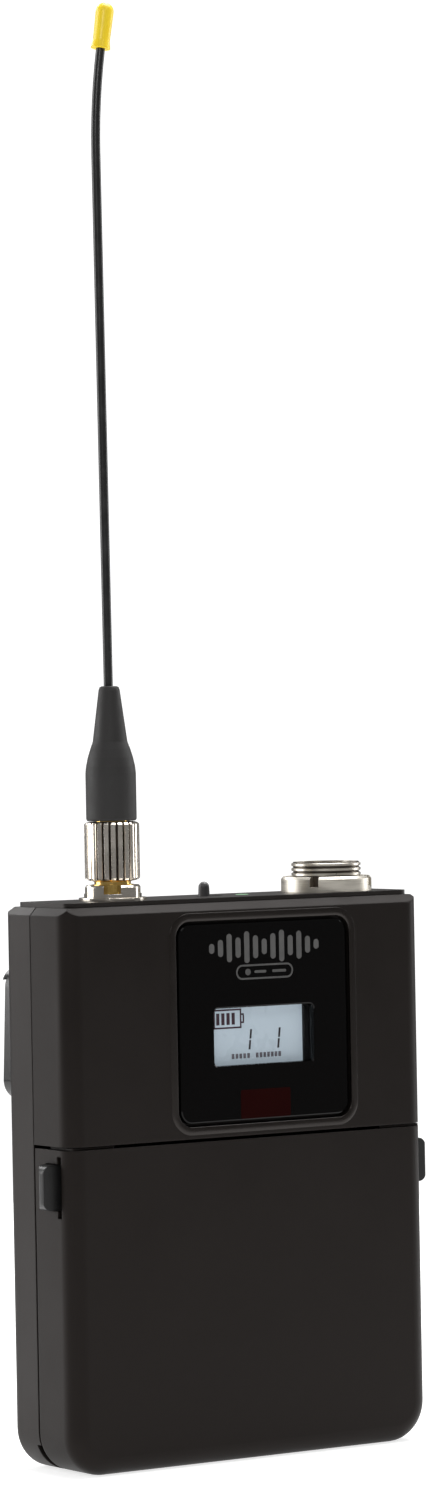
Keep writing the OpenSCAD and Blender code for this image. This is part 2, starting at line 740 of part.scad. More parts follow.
module jack_insulator() {
  color([0.93, 0.93, 0.9]) at_jack() difference() {
    translate([0, 0, plate_z - 7.2]) cylinder(d = 4.1, h = jack_top - 2 - plate_z + 7.2);
    translate([0, 0, plate_z - 8]) cylinder(d = 1.27, h = 40);
  }
}

module jack_contact() {
  color([0.85, 0.66, 0.3]) at_jack() difference() {
    translate([0, 0, plate_z - 8.6]) cylinder(d = 1.27, h = jack_top - 2 - plate_z + 8.6);
    translate([0, 0, nut_z0 - 0.5]) cylinder(d = 0.98, h = 20);
  }
}

module jack_washer() {
  color([0.85, 0.85, 0.87]) at_jack() difference() {
    translate([0, 0, case_h]) cylinder(d = 10.4, h = 0.4);
    translate([0, 0, case_h - 1]) cylinder(d = jack_thread_d + 0.1, h = 3);
  }
}

module jack_nut() {
  d = jack_thread_d + 2.45;
  color([0.8, 0.79, 0.76]) at_jack() difference() {
    union() {
      translate([0, 0, case_h + 0.4]) cylinder(d = d, h = 1.6);
      translate([0, 0, case_h + 2]) cylinder(d1 = d, d2 = d - 0.5, h = 0.3);
    }
    translate([0, 0, case_h - 1]) cylinder(d = jack_thread_d, h = 6);
    for (a = [56:90:326]) rotate(a) translate([2.9, -1.3, case_h + 1]) cube([3, 2.6, 3]);
  }
}

// lead soldered to the jack's centre contact, turned back to a plug on the board
module coax_lead() {
  z = plate_z - 7.2;
  d = 1.8;
  color([0.55, 0.35, 0.2]) at_jack() {
    difference() {
      translate([0, 0, z - 4.4]) cylinder(d = d, h = 4.4);
      translate([0, 0, z - 1.4]) cylinder(d = 1.27, h = 4);
    }
    translate([0, d, z - 4.4]) rotate([-90, 0, -90]) rotate_extrude(angle = 90)
      translate([d, 0]) circle(d = d);
    span([-1.8, board_y + jack_y - 1.6, z - 7.6], [1.8, board_y + jack_y, z - 4.8]);
  }
}

// ---------- antenna ----------

module antenna_nut() {
  bore = jack_thread_d + 2 * nut_clear;
  n = 18;
  color([0.72, 0.67, 0.6]) at_jack() difference() {
    union() {
      translate([0, 0, nut_z0]) cylinder(d = knurl_d - 0.9, h = nut_h);
      translate([0, 0, nut_z0 + 0.6]) cylinder(d = knurl_d - 0.5, h = nut_h - 1.2);
      for (i = [0:n - 1]) rotate(i * 360 / n)
        translate([knurl_d / 2 - 0.75, -0.42, nut_z0 + 0.5]) cube([0.75, 0.84, nut_h - 1]);
    }
    translate([0, 0, nut_z0 - 1]) cylinder(d = bore, h = nut_thread_h + 1);
    translate([0, 0, nut_z0 + 1]) cylinder(d = 5.2, h = nut_h);
  }
}

module antenna_ferrule() {
  z = nut_z0 + nut_thread_h;
  color([0.85, 0.66, 0.3]) at_jack() difference() {
    union() {
      translate([0, 0, z - 0.9]) cylinder(d = 6.3, h = 0.85);
      translate([0, 0, z - 0.9]) cylinder(d = 5.06, h = boot_z + 3 - z + 0.9);
    }
    whip_stem();
    translate([0, 0, z - 2]) cylinder(d = 0.92, h = boot_z - z);
  }
}

module antenna_pin() {
  color([0.85, 0.66, 0.3]) at_jack() translate([0, 0, nut_z0 - 0.3])
    cylinder(d = 0.92, h = boot_z - 3 - nut_z0 + 0.3 + 1);
}

module antenna_boot() {
  z = boot_z;
  color([0.07, 0.07, 0.07]) at_jack() difference() {
    rotate_extrude() polygon([[0, z], [3.7, z], [3.85, z + 0.3], [3.85, z + 7.2], [3.75, z + 8.2],
      [3.45, z + 9.6], [3.05, z + 10.9], [2.65, z + 12], [1.62, z + boot_h - 0.6],
      [1.45, z + boot_h - 0.15], [1.1, z + boot_h], [0, z + boot_h]]);
    translate([0, 0, z - 1]) cylinder(d = 5.06, h = 4);
    whip_stem();
  }
}

// frame of the straight whip, leaning a little to the left
module whip_base() {
  translate([0, 0, boot_z - 1]) rotate([0, -whip_lean, 0]) children();
}

module whip_stem() { whip_base() cylinder(d = whip_d, h = bend_z - boot_z + 1); }

// frame at the end of the gentle set near the tip
module whip_end() {
  whip_base() translate([bend_r, 0, bend_z - boot_z + 1])
    rotate([0, bend_a, 0]) translate([-bend_r, 0, 0]) children();
}

// the set is a hair thinner, so that it starts and ends inside the straight lengths
module antenna_whip() {
  color([0.06, 0.06, 0.06]) at_jack() {
    whip_stem();
    whip_base() translate([bend_r, 0, bend_z - boot_z + 1 - 0.05])
      rotate([90, 0, 180]) rotate_extrude(angle = bend_a + 0.06)
        translate([bend_r, 0]) circle(d = whip_d - 0.02);
    whip_end() cylinder(d = whip_d, h = 4);
  }
}

module antenna_tip() {
  color([0.98, 0.83, 0.2]) at_jack() difference() {
    whip_end() {
      cylinder(d1 = 3, d2 = 2.6, h = 1.2);
      translate([0, 0, 1.1]) cylinder(d1 = 2.6, d2 = 2.75, h = 4.6);
      translate([0, 0, 5.7]) sphere(d = 2.75, $fn = 32);
    }
    whip_end() translate([0, 0, -1]) cylinder(d = whip_d, h = 5);
  }
}

// ---------- microphone connector ----------

module at_mic() { translate([mic_x, -jack_y, 0]) children(); }

module mic_shell() {
  color([0.74, 0.72, 0.68]) at_mic() difference() {
    union() {
      translate([0, 0, plate_z - 10.6]) cylinder(d = 9.6, h = 9.8);
      translate([0, 0, plate_z - 1]) cylinder(d = 12.2, h = 1);
      translate([0, 0, plate_z - 0.5]) cylinder(d = mic_body_d, h = case_h + mic_nut_h - plate_z + 0.5);
      ring_thread(mic_thread_d, case_h + mic_nut_h, 3, mic_pitch, mic_thread_depth);
    }
    translate([0, 0, plate_z - 11]) cylinder(d = 8.2, h = 30);
    translate([-0.8, -4.8, plate_z - 3]) cube([1.6, 1.5, 20]);
  }
}

module mic_insulator() {
  color([0.07, 0.07, 0.07]) at_mic() difference() {
    translate([0, 0, plate_z - 9.6]) cylinder(d = 8.2, h = 4.6);
    for (a = [45:90:315]) rotate(a) translate([2, 0, plate_z - 12]) cylinder(d = 1, h = 12);
  }
}

module mic_pins() {
  color([0.86, 0.84, 0.8]) at_mic() for (a = [45:90:315]) rotate(a) translate([2, 0, plate_z - 12]) {
    cylinder(d = 1, h = 13.4);
    translate([0, 0, 13.4]) cylinder(d1 = 1, d2 = 0.6, h = 0.5);
  }
}

module mic_nut() {
  color([0.76, 0.74, 0.7]) at_mic() difference() {
    union() {
      translate([0, 0, case_h]) cylinder(d = mic_nut_d, h = mic_nut_h - 0.4);
      translate([0, 0, case_h + mic_nut_h - 0.4]) cylinder(d1 = mic_nut_d, d2 = mic_nut_d - 0.7, h = 0.4);
    }
    translate([0, 0, case_h - 1]) cylinder(d = mic_body_d, h = 6);
    for (a = [39:90:309]) rotate(a)
      translate([mic_body_d / 2 - 1, -0.7, case_h + 0.8]) cube([5, 1.4, 4]);
  }
}

module mic_wires() {
  r = 0.45;
  color([0.5, 0.08, 0.08]) at_mic() for (sx = [-1, 1], sy = [-1, 1]) {
    p = [sx * sqrt(2), sy * sqrt(2), plate_z - 14.7 + sy * 0.9];
    translate(p) cylinder(r = r, h = plate_z - 12 - p[2]);
    translate(p) sphere(r = r);
    translate(p) rotate([-90, 0, 0]) cylinder(r = r, h = board_y + jack_y - p[1]);
  }
}

// ---------- battery bay ----------

module battery_tray() {
  yb = y1 - back_wall - 0.05;
  color([0.13, 0.13, 0.135]) difference() {
    union() {
      span([-tray_out, hinge_cut_y - 0.6, tray_z0], [tray_out, yb, tray_z1]);
      for (s = [0, 1]) mirror([s, 0, 0])
        span([tray_in, y0 + front_wall + 0.7, tray_z0], [tray_out, yb, tray_z1]);
    }
    for (s = [0, 1]) mirror([s, 0, 0])
      span([tray_in - contact_t - 0.05, cell_y - 5.1, cell_z[0] - 5.1],
        [tray_in, cell_y + 5.1, cell_z[1] + 5.1]);
    for (z = cell_z) xcyl(cell_y, z, -tray_in, tray_in, cell_d / 2 + 0.1);
    for (z = cell_z) span([-tray_in, -case_d, z - cell_d / 2 - 0.1],
      [tray_in, cell_y, z + cell_d / 2 + 0.1]);
    for (sx = [-1, 1]) ycyl(sx * clip_screw_x, clip_screw_z, y1 - 3.6, case_d, 2.6);
  }
}

// AA cell along +X with its button at the far end
module cell(z, turned) {
  body = cell_l - 1;
  mirror([turned ? 1 : 0, 0, 0]) translate([cell_shift - cell_l / 2, cell_y, z]) rotate([0, 90, 0]) {
    cylinder(d = cell_d - 0.4, h = 0.4);
    translate([0, 0, 0.4]) cylinder(d = cell_d, h = body - 0.9);
    translate([0, 0, body - 0.5]) cylinder(d1 = cell_d, d2 = cell_d - 1, h = 0.5);
    translate([0, 0, body]) cylinder(d = 5.4, h = 1);
  }
}

module cell_upper() { color([0.16, 0.28, 0.45]) cell(cell_z[1], false); }
module cell_lower() { color([0.16, 0.28, 0.45]) cell(cell_z[0], true); }

module contact_plate(z0, z1) {
  span([tray_in - contact_t, cell_y - 5, z0], [tray_in, cell_y + 5, z1]);
}

// positive end: a dimple that meets the cell's button
module contact_dimple(z) {
  translate([tray_in - contact_t - dimple, cell_y, z]) rotate([0, 90, 0])
    cylinder(d1 = 3.4, d2 = 5, h = dimple + 0.1);
}

module contact_coil(z) {
  sink = 0.15;
  translate([tray_in - contact_t + sink, cell_y, z]) rotate([0, -90, 0])
    coil(2.9, 0.35, 2 * cell_shift + dimple + sink - 0.02, 3);
}

module link_contact() {
  color([0.78, 0.77, 0.74]) mirror([1, 0, 0]) {
    contact_plate(cell_z[0] - 5, cell_z[1] + 5);
    contact_dimple(cell_z[0]);
    contact_coil(cell_z[1]);
  }
}

module positive_contact() {
  color([0.78, 0.77, 0.74]) {
    contact_plate(cell_z[1] - 5, cell_z[1] + 5);
    contact_dimple(cell_z[1]);
  }
}

module negative_contact() {
  color([0.78, 0.77, 0.74]) {
    contact_plate(cell_z[0] - 5, cell_z[0] + 5);
    contact_coil(cell_z[0]);
  }
}

// ---------- belt clip ----------

// spring arm: side profile bent from one strip, wide at the mouth
module belt_clip() {
  color([0.05, 0.05, 0.055]) {
    intersection() {
      translate([-clip_w / 2, 0, 0]) rotate([90, 0, 90]) linear_extrude(clip_w) clip_profile();
      clip_outline();
    }
    for (s = [0, 1]) mirror([s, 0, 0]) intersection() {
      translate([clip_w / 2 - 1, 0, 0]) rotate([90, 0, 90]) linear_extrude(1) clip_flange();
      clip_outline();
    }
  }
}

// side profile of the arm, in depth and height, leaning in by a share of the room behind the case
module clip_profile() {
  yo = clip_y;
  t = clip_t;
  zc = clip_top - 0.5 - t;
  polygon([[yo - t, clip_bend_z - eps], [yo, clip_bend_z - eps], [yo, clip_top - 17],
    [yo - clip_lean, zc + eps], [yo - clip_lean - t, zc + eps], [yo - t, clip_top - 17]]);
  translate([yo - clip_lean + 0.5, zc]) difference() {
    circle(r = 0.5 + t);
    circle(r = 0.5);
    translate([-5, -5]) square([10, 5]);
    translate([0.5, -5]) square([5, 10]);
  }
  difference() {
    translate([y1 + clip_bend_r, clip_bend_z]) circle(r = clip_bend_r);
    translate([y1 + clip_bend_r, clip_bend_z]) circle(r = clip_bend_r - t);
    translate([0, clip_bend_z]) square([40, 20]);
    translate([y1 - 0.1, clip_bend_z - 0.4]) square([t + 0.4, 2]);
  }
}

// stiffening flange along the side of the mouth, as deep as the lean of the arm
module clip_flange() {
  f = clip_y - clip_t;
  zt = clip_top - 2.4;
  k = clip_lean;
  polygon([[f - k, clip_top - paddle_h], [f + 0.1, clip_top - paddle_h], [f + 0.1, clip_top - 17],
    [f - 0.85 * k, zt], [f - 1.9 * k, zt], [f - k, clip_top - 17]]);
}

// the arm seen from behind: narrow strap, wide mouth with rounded corners
module clip_outline() {
  zt = clip_top;
  translate([0, 2 * case_d, 0]) rotate([90, 0, 0]) linear_extrude(2 * case_d) {
    translate([-strap_w / 2, -5]) square([strap_w, zt + 4]);
    translate([0, zt - paddle_h / 2 + 0.2]) round_rect(clip_w, paddle_h + 0.4, 3);
    translate([0, zt - paddle_h]) difference() {
      square([strap_w + 8, 8], center = true);
      for (s = [-1, 1]) translate([s * (strap_w / 2 + 4), -4]) circle(4);
    }
  }
}

module clip_foot() {
  color([0.05, 0.05, 0.055]) difference() {
    span([-strap_w / 2, y1, clip_bend_z], [strap_w / 2, y1 + clip_t, foot_top]);
    for (sx = [-1, 1]) {
      ycyl(sx * clip_screw_x, clip_screw_z, y1 - 1, y1 + 3, 1.3);
      translate([sx * clip_screw_x, y1 + 0.05, clip_screw_z]) rotate([-90, 0, 0])
        cylinder(r1 = 1.3, r2 = 2.4, h = 1.1);
    }
  }
}

module clip_screws() {
  color([0.65, 0.65, 0.67]) for (sx = [-1, 1]) difference() {
    union() {
      ycyl(sx * clip_screw_x, clip_screw_z, y1 - 2.8, y1 + 0.2, 1.25);
      translate([sx * clip_screw_x, y1 + 0.1, clip_screw_z]) rotate([-90, 0, 0])
        cylinder(r1 = 1.25, r2 = 2.2, h = 0.95);
    }
    ycyl(sx * clip_screw_x, clip_screw_z, y1 + 0.5, y1 + 3, 0.75);
  }
}

module case_screws() {
  color([0.55, 0.55, 0.57]) for (sx = [-1, 1], z = [boss_low_z, boss_high_z]) difference() {
    union() {
      ycyl(sx * boss_x, z, y0 + 3.4, y1 - 1.4, screw_d / 2);
      ycyl(sx * boss_x, z, y1 - 1.5, y1 - 0.2, screw_d * 0.95);
    }
    ycyl(sx * boss_x, z, y1 - 0.8, y1 + 1, 0.75);
  }
}

rear_shell();
front_cover();
top_plate();
battery_door();
door_pad();
hinge_pin();
latch_left();
latch_right();
latch_spring_left();
latch_spring_right();
latch_retainer_left();
latch_retainer_right();
window_lens();
window_gasket();
ir_window();
ir_transceiver();
display_frame();
display_glass();
display_backlight();
display_ribbon();
main_board();
board_components();
shield_can();
board_screws();
button_housing();
key_menu();
key_enter();
key_down();
key_up();
key_switches();
switch_body();
switch_nub();
power_light();
jack_body();
jack_insulator();
jack_contact();
jack_washer();
jack_nut();
coax_lead();
antenna_nut();
antenna_ferrule();
antenna_pin();
antenna_boot();
antenna_whip();
antenna_tip();
mic_shell();
mic_insulator();
mic_pins();
mic_nut();
mic_wires();
battery_tray();
cell_upper();
cell_lower();
link_contact();
positive_contact();
negative_contact();
belt_clip();
clip_foot();
clip_screws();
case_screws();
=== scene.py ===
import math

import bpy
from mathutils import Matrix, Vector


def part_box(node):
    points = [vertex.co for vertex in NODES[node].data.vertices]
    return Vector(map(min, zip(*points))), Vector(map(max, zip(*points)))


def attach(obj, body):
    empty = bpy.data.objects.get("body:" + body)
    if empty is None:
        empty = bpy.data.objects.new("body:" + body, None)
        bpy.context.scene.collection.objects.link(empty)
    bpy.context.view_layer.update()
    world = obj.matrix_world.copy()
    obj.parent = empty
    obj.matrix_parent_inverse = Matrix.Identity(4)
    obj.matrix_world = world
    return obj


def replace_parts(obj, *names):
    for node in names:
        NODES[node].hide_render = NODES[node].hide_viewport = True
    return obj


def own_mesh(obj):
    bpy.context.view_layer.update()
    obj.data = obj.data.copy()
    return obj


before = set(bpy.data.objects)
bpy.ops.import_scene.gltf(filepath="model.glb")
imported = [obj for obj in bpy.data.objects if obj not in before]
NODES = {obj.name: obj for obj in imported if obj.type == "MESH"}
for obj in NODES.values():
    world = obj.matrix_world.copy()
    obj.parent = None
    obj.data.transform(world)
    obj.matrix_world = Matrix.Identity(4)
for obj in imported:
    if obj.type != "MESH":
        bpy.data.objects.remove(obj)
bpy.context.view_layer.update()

MM = 0.001


# ---------------------------------------------------------------- materials


def shader(name):
    mat = bpy.data.materials.new(name)
    mat.use_nodes = True
    tree = mat.node_tree
    return mat, tree, tree.nodes["Principled BSDF"]


def link(tree, a, b):
    tree.links.new(a, b)


def object_coords(tree):
    return tree.nodes.new("ShaderNodeTexCoord").outputs["Object"]


def noise(tree, scale, detail=3.0, rough=0.55, stretch=None):
    node = tree.nodes.new("ShaderNodeTexNoise")
    node.inputs["Scale"].default_value = scale
    node.inputs["Detail"].default_value = detail
    node.inputs["Roughness"].default_value = rough
    coords = object_coords(tree)
    if stretch:
        mapping = tree.nodes.new("ShaderNodeMapping")
        mapping.inputs["Scale"].default_value = stretch
        link(tree, coords, mapping.inputs["Vector"])
        coords = mapping.outputs["Vector"]
    link(tree, coords, node.inputs["Vector"])
    return node.outputs["Fac"]


def spread(tree, value, low, high, start=0.3, stop=0.7):
    node = tree.nodes.new("ShaderNodeMapRange")
    node.inputs["From Min"].default_value = start
    node.inputs["From Max"].default_value = stop
    node.inputs["To Min"].default_value = low
    node.inputs["To Max"].default_value = high
    link(tree, value, node.inputs["Value"])
    return node.outputs["Result"]


def blend_colours(tree, value, dark, light):
    node = tree.nodes.new("ShaderNodeMix")
    node.data_type = "RGBA"
    node.inputs[6].default_value = (*dark, 1)
    node.inputs[7].default_value = (*light, 1)
    link(tree, value, node.inputs[0])
    return node.outputs[2]


def add_bump(tree, bsdf, height, distance, strength=1.0, edge=0.0):
    bump = tree.nodes.new("ShaderNodeBump")
    bump.inputs["Strength"].default_value = strength
    bump.inputs["Distance"].default_value = distance
    link(tree, height, bump.inputs["Height"])
    if edge:
        bevel = tree.nodes.new("ShaderNodeBevel")
        bevel.samples = 4
        bevel.inputs["Radius"].default_value = edge
        link(tree, bevel.outputs["Normal"], bump.inputs["Normal"])
    link(tree, bump.outputs["Normal"], bsdf.inputs["Normal"])


def surface(name, dark, light, rough=(0.4, 0.5), grain=900.0, bump=0.0, edge=0.0,
            metallic=0.0, stretch=None, specular=0.5, bump_grain=None, tint=None):
    """Clouded colour and roughness, with a fine bump and rounded edges where asked for. Lengths in metres."""
    mat, tree, bsdf = shader(name)
    cloud = noise(tree, grain, stretch=stretch)
    link(tree, blend_colours(tree, spread(tree, cloud, 0, 1), dark, light), bsdf.inputs["Base Color"])
    link(tree, spread(tree, cloud, *rough), bsdf.inputs["Roughness"])
    bsdf.inputs["Metallic"].default_value = metallic
    bsdf.inputs["Specular IOR Level"].default_value = specular
    if tint:
        bsdf.inputs["Specular Tint"].default_value = (*tint, 1)
    if bump or edge:
        fine = noise(tree, bump_grain or grain * 3, detail=2.0, stretch=stretch)
        add_bump(tree, bsdf, fine, max(bump, 1e-7), 1.0 if bump else 0.0, edge)
    return mat


def painted_shade_by_radius(mat, axis_x, stops, colour):
    """Paints shade into a band around an upright axis: full shade colour between the middle two radii of
    stops, in mm.
    """
    tree = mat.node_tree
    bsdf = tree.nodes["Principled BSDF"]
    flat = tree.nodes.new("ShaderNodeVectorMath")
    flat.operation = "MULTIPLY_ADD"
    link(tree, object_coords(tree), flat.inputs[0])
    flat.inputs[1].default_value = (1, 1, 0)
    flat.inputs[2].default_value = (-axis_x * MM, 0, 0)
    radius = tree.nodes.new("ShaderNodeVectorMath")
    radius.operation = "LENGTH"
    link(tree, flat.outputs["Vector"], radius.inputs[0])
    rise = spread(tree, radius.outputs["Value"], 0, 1, stops[0] * MM, stops[1] * MM)
    fall = spread(tree, radius.outputs["Value"], 1, 0, stops[2] * MM, stops[3] * MM)
    band = tree.nodes.new("ShaderNodeMath")
    band.operation = "MULTIPLY"
    link(tree, rise, band.inputs[0])
    link(tree, fall, band.inputs[1])
    unshaded_colour = bsdf.inputs["Base Color"].links[0].from_socket
    mix = tree.nodes.new("ShaderNodeMix")
    mix.data_type = "RGBA"
    link(tree, band.outputs["Value"], mix.inputs[0])
    link(tree, unshaded_colour, mix.inputs[6])
    mix.inputs[7].default_value = (*colour, 1)
    link(tree, mix.outputs[2], bsdf.inputs["Base Color"])
    return mat


MIC_AXIS_X, ANTENNA_AXIS_X = 21, -18.8

PAINT = surface("powder_coat", (0.0052, 0.0040, 0.0034), (0.0068, 0.0054, 0.0048), (0.38, 0.48),
                grain=60, bump=0.000012, bump_grain=3800, edge=0.00032, specular=0.20, tint=(1.0, 0.90, 0.86))
# copy of the powder coat that reflects less, so the front cover and door read darker than the rear shell:
# painted shade for the light falling off from back to front
PAINT_FRONT_SHADED = surface("powder_coat_front_painted_shade", (0.0062, 0.0049, 0.0042), (0.0080, 0.0064, 0.0056), (0.40, 0.50),
                      grain=60, bump=0.000012, bump_grain=3800, edge=0.00032, specular=0.145,
                      tint=(1.0, 0.90, 0.86))
PLATE = surface("powder_coat_plate", (0.0060, 0.0050, 0.0045), (0.0080, 0.0068, 0.0062), (0.36, 0.45),
                grain=80, bump=0.000012, bump_grain=3800, edge=0.00025, specular=0.26, tint=(1.0, 0.92, 0.88))
PLASTIC = surface("black_plastic_moulded", (0.006, 0.006, 0.006), (0.010, 0.010, 0.010), (0.30, 0.40),
                  grain=200, bump=0.000004, bump_grain=5000, edge=0.00020, specular=0.3)
NUB = surface("switch_plastic", (0.045, 0.044, 0.045), (0.06, 0.058, 0.06), (0.40, 0.50), grain=400,
              edge=0.0001)
PANEL = surface("panel_gloss", (0.0014, 0.0012, 0.0012), (0.0018, 0.0016, 0.0016), (0.04, 0.07),
                grain=40, specular=0.145)
RIM = surface("window_rim_paint", (0.0062, 0.0049, 0.0042), (0.0080, 0.0064, 0.0056), (0.20, 0.28),
              grain=60, bump=0.000006, bump_grain=3800, specular=0.32, tint=(1.0, 0.92, 0.88))
FOAM = surface("black_foam", (0.01, 0.01, 0.01), (0.025, 0.025, 0.025), (0.85, 0.95), grain=2500,
               bump=0.00006)
STEEL = surface("bright_steel", (0.45, 0.45, 0.47), (0.62, 0.62, 0.64), (0.22, 0.34), grain=300,
                metallic=1.0, stretch=(1, 6, 1), edge=0.00008)
SPRING = surface("spring_wire", (0.5, 0.5, 0.52), (0.7, 0.7, 0.72), (0.18, 0.28), grain=400, metallic=1.0)
TIN = surface("tinned_sheet", (0.55, 0.55, 0.55), (0.72, 0.71, 0.69), (0.25, 0.4), grain=350, metallic=1.0,
              edge=0.00006)
NICKEL = surface("warm_nickel", (0.66, 0.61, 0.53), (0.78, 0.73, 0.65), (0.10, 0.20), grain=260,
                 metallic=1.0, bump=0.000002, bump_grain=2600, edge=0.00012)
BRUSHED = surface("turned_nickel", (0.60, 0.56, 0.49), (0.74, 0.70, 0.62), (0.30, 0.42), grain=500,
                  metallic=1.0, stretch=(0.6, 0.6, 9), bump=0.000003, bump_grain=1500, edge=0.00012)
THREADED = surface("threaded_nickel", (0.60, 0.56, 0.49), (0.74, 0.70, 0.62), (0.26, 0.36), grain=500,
                   metallic=1.0, bump=0.000003, bump_grain=1500)
# painted shade: darkens the mic shell's thread where it lies deep in the slots of the ring nut
painted_shade_by_radius(THREADED, MIC_AXIS_X, (4.9, 5.0, 5.16, 5.38), (0.10, 0.085, 0.07))
KNURLED = surface("knurled_nickel", (0.80, 0.74, 0.66), (0.90, 0.84, 0.76), (0.14, 0.24), grain=260,
                  metallic=1.0, bump=0.000002, bump_grain=2600, edge=0.00006)
# painted shade: darkens the floors of the knurl's grooves between the ridges
painted_shade_by_radius(KNURLED, ANTENNA_AXIS_X, (3.5, 3.6, 3.84, 4.04), (0.15, 0.12, 0.10))
GOLD = surface("gold_plate", (0.72, 0.46, 0.12), (0.90, 0.64, 0.24), (0.14, 0.24), grain=400, metallic=1.0,
               edge=0.00006)
PTFE = surface("white_insulator", (0.75, 0.75, 0.72), (0.85, 0.85, 0.82), (0.4, 0.5), grain=300)
RUBBER = surface("boot_rubber", (0.009, 0.0082, 0.0078), (0.015, 0.0138, 0.0134), (0.55, 0.70), grain=350,
                 bump=0.00002, bump_grain=4500, edge=0.0002)
JACKET = surface("whip_jacket_black", (0.008, 0.008, 0.008), (0.014, 0.014, 0.014), (0.28, 0.38), grain=500)
YELLOW = surface("tip_yellow", (1.0, 0.70, 0.020), (1.0, 0.76, 0.032), (0.30, 0.40), grain=300)
KEY = surface("key_rubber", (0.035, 0.035, 0.037), (0.05, 0.05, 0.052), (0.5, 0.62), grain=600,
              bump=0.00001, edge=0.0003)
BOARD = surface("solder_mask", (0.008, 0.07, 0.035), (0.015, 0.13, 0.06), (0.25, 0.35), grain=500)
CHIP = surface("chip_black", (0.012, 0.012, 0.013), (0.022, 0.022, 0.024), (0.45, 0.6), grain=900,
               edge=0.0001)
RIBBON = surface("flex_circuit", (0.42, 0.17, 0.03), (0.55, 0.25, 0.05), (0.25, 0.35), grain=250)
COAX = surface("coax_brown", (0.20, 0.08, 0.03), (0.28, 0.12, 0.05), (0.3, 0.4), grain=300)
WIRE = surface("wire_red", (0.35, 0.02, 0.02), (0.45, 0.03, 0.03), (0.35, 0.45), grain=300)
CLIP = surface("clip_black_gloss", (0.004, 0.004, 0.004), (0.007, 0.007, 0.007), (0.16, 0.24), grain=90,
               bump=0.000006, bump_grain=900, edge=0.00025, specular=0.30)
IR = surface("ir_window_red", (0.0095, 0.0006, 0.0005), (0.0125, 0.0010, 0.0008), (0.06, 0.10), grain=60,
             specular=0.10)
GUIDE = surface("light_guide", (0.8, 0.82, 0.84), (0.88, 0.9, 0.92), (0.3, 0.4), grain=200)
PRINT = surface("print_grey", (0.060, 0.059, 0.058), (0.075, 0.073, 0.071), (0.45, 0.55), grain=800)
PRINT_DIM = surface("print_grey_fine", (0.048, 0.047, 0.046), (0.06, 0.059, 0.058), (0.45, 0.55), grain=800)
ICON = surface("icon_white", (0.55, 0.55, 0.55), (0.68, 0.68, 0.68), (0.5, 0.6), grain=800)
LCD_DARK = surface("lcd_segment", (0.008, 0.004, 0.008), (0.014, 0.006, 0.014), (0.4, 0.5), grain=500)
LCD_ICON = surface("lcd_segment_maroon", (0.038, 0.008, 0.020), (0.05, 0.012, 0.028), (0.4, 0.5), grain=500)
LCD_FINE = surface("lcd_segment_fine", (0.16, 0.15, 0.18), (0.20, 0.19, 0.22), (0.4, 0.5), grain=500)


def glowing(name, dark, light, glow, strength):
    mat = surface(name, dark, light, (0.25, 0.32), grain=120)
    bsdf = mat.node_tree.nodes["Principled BSDF"]
    bsdf.inputs["Emission Color"].default_value = (*glow, 1)
    bsdf.inputs["Emission Strength"].default_value = strength
    return mat


LCD = glowing("lcd_pale", (0.34, 0.40, 0.45), (0.38, 0.44, 0.49), (0.50, 0.60, 0.68), 0.42)
LIGHT = glowing("light_green", (0.35, 0.6, 0.38), (0.42, 0.68, 0.44), (0.2, 0.8, 0.3), 0.15)


def clear_plastic():
    mat, tree, bsdf = shader("clear_window")
    link(tree, spread(tree, noise(tree, 50), 0.02, 0.04), bsdf.inputs["Roughness"])
    bsdf.inputs["Base Color"].default_value = (0.02, 0.022, 0.024, 1)
    bsdf.inputs["Alpha"].default_value = 0.07
    bsdf.inputs["Specular IOR Level"].default_value = 0.12
    return mat


CLEAR = clear_plastic()


BAND_START, BAND_END = 14.8, 15.0


def cell_wrap(name, side):
    """Blue wrap with a silver band at the positive end, which is at +X or -X."""
    mat, tree, bsdf = shader(name)
    split = tree.nodes.new("ShaderNodeSeparateXYZ")
    link(tree, object_coords(tree), split.inputs["Vector"])
    band = spread(tree, split.outputs["X"], 0, 1, side * BAND_START * MM, side * BAND_END * MM)
    colour = blend_colours(tree, band, (0.012, 0.035, 0.10), (0.32, 0.33, 0.34))
    link(tree, colour, bsdf.inputs["Base Color"])
    link(tree, spread(tree, noise(tree, 120), 0.22, 0.34), bsdf.inputs["Roughness"])
    bsdf.inputs["Coat Weight"].default_value = 0.3
    return mat


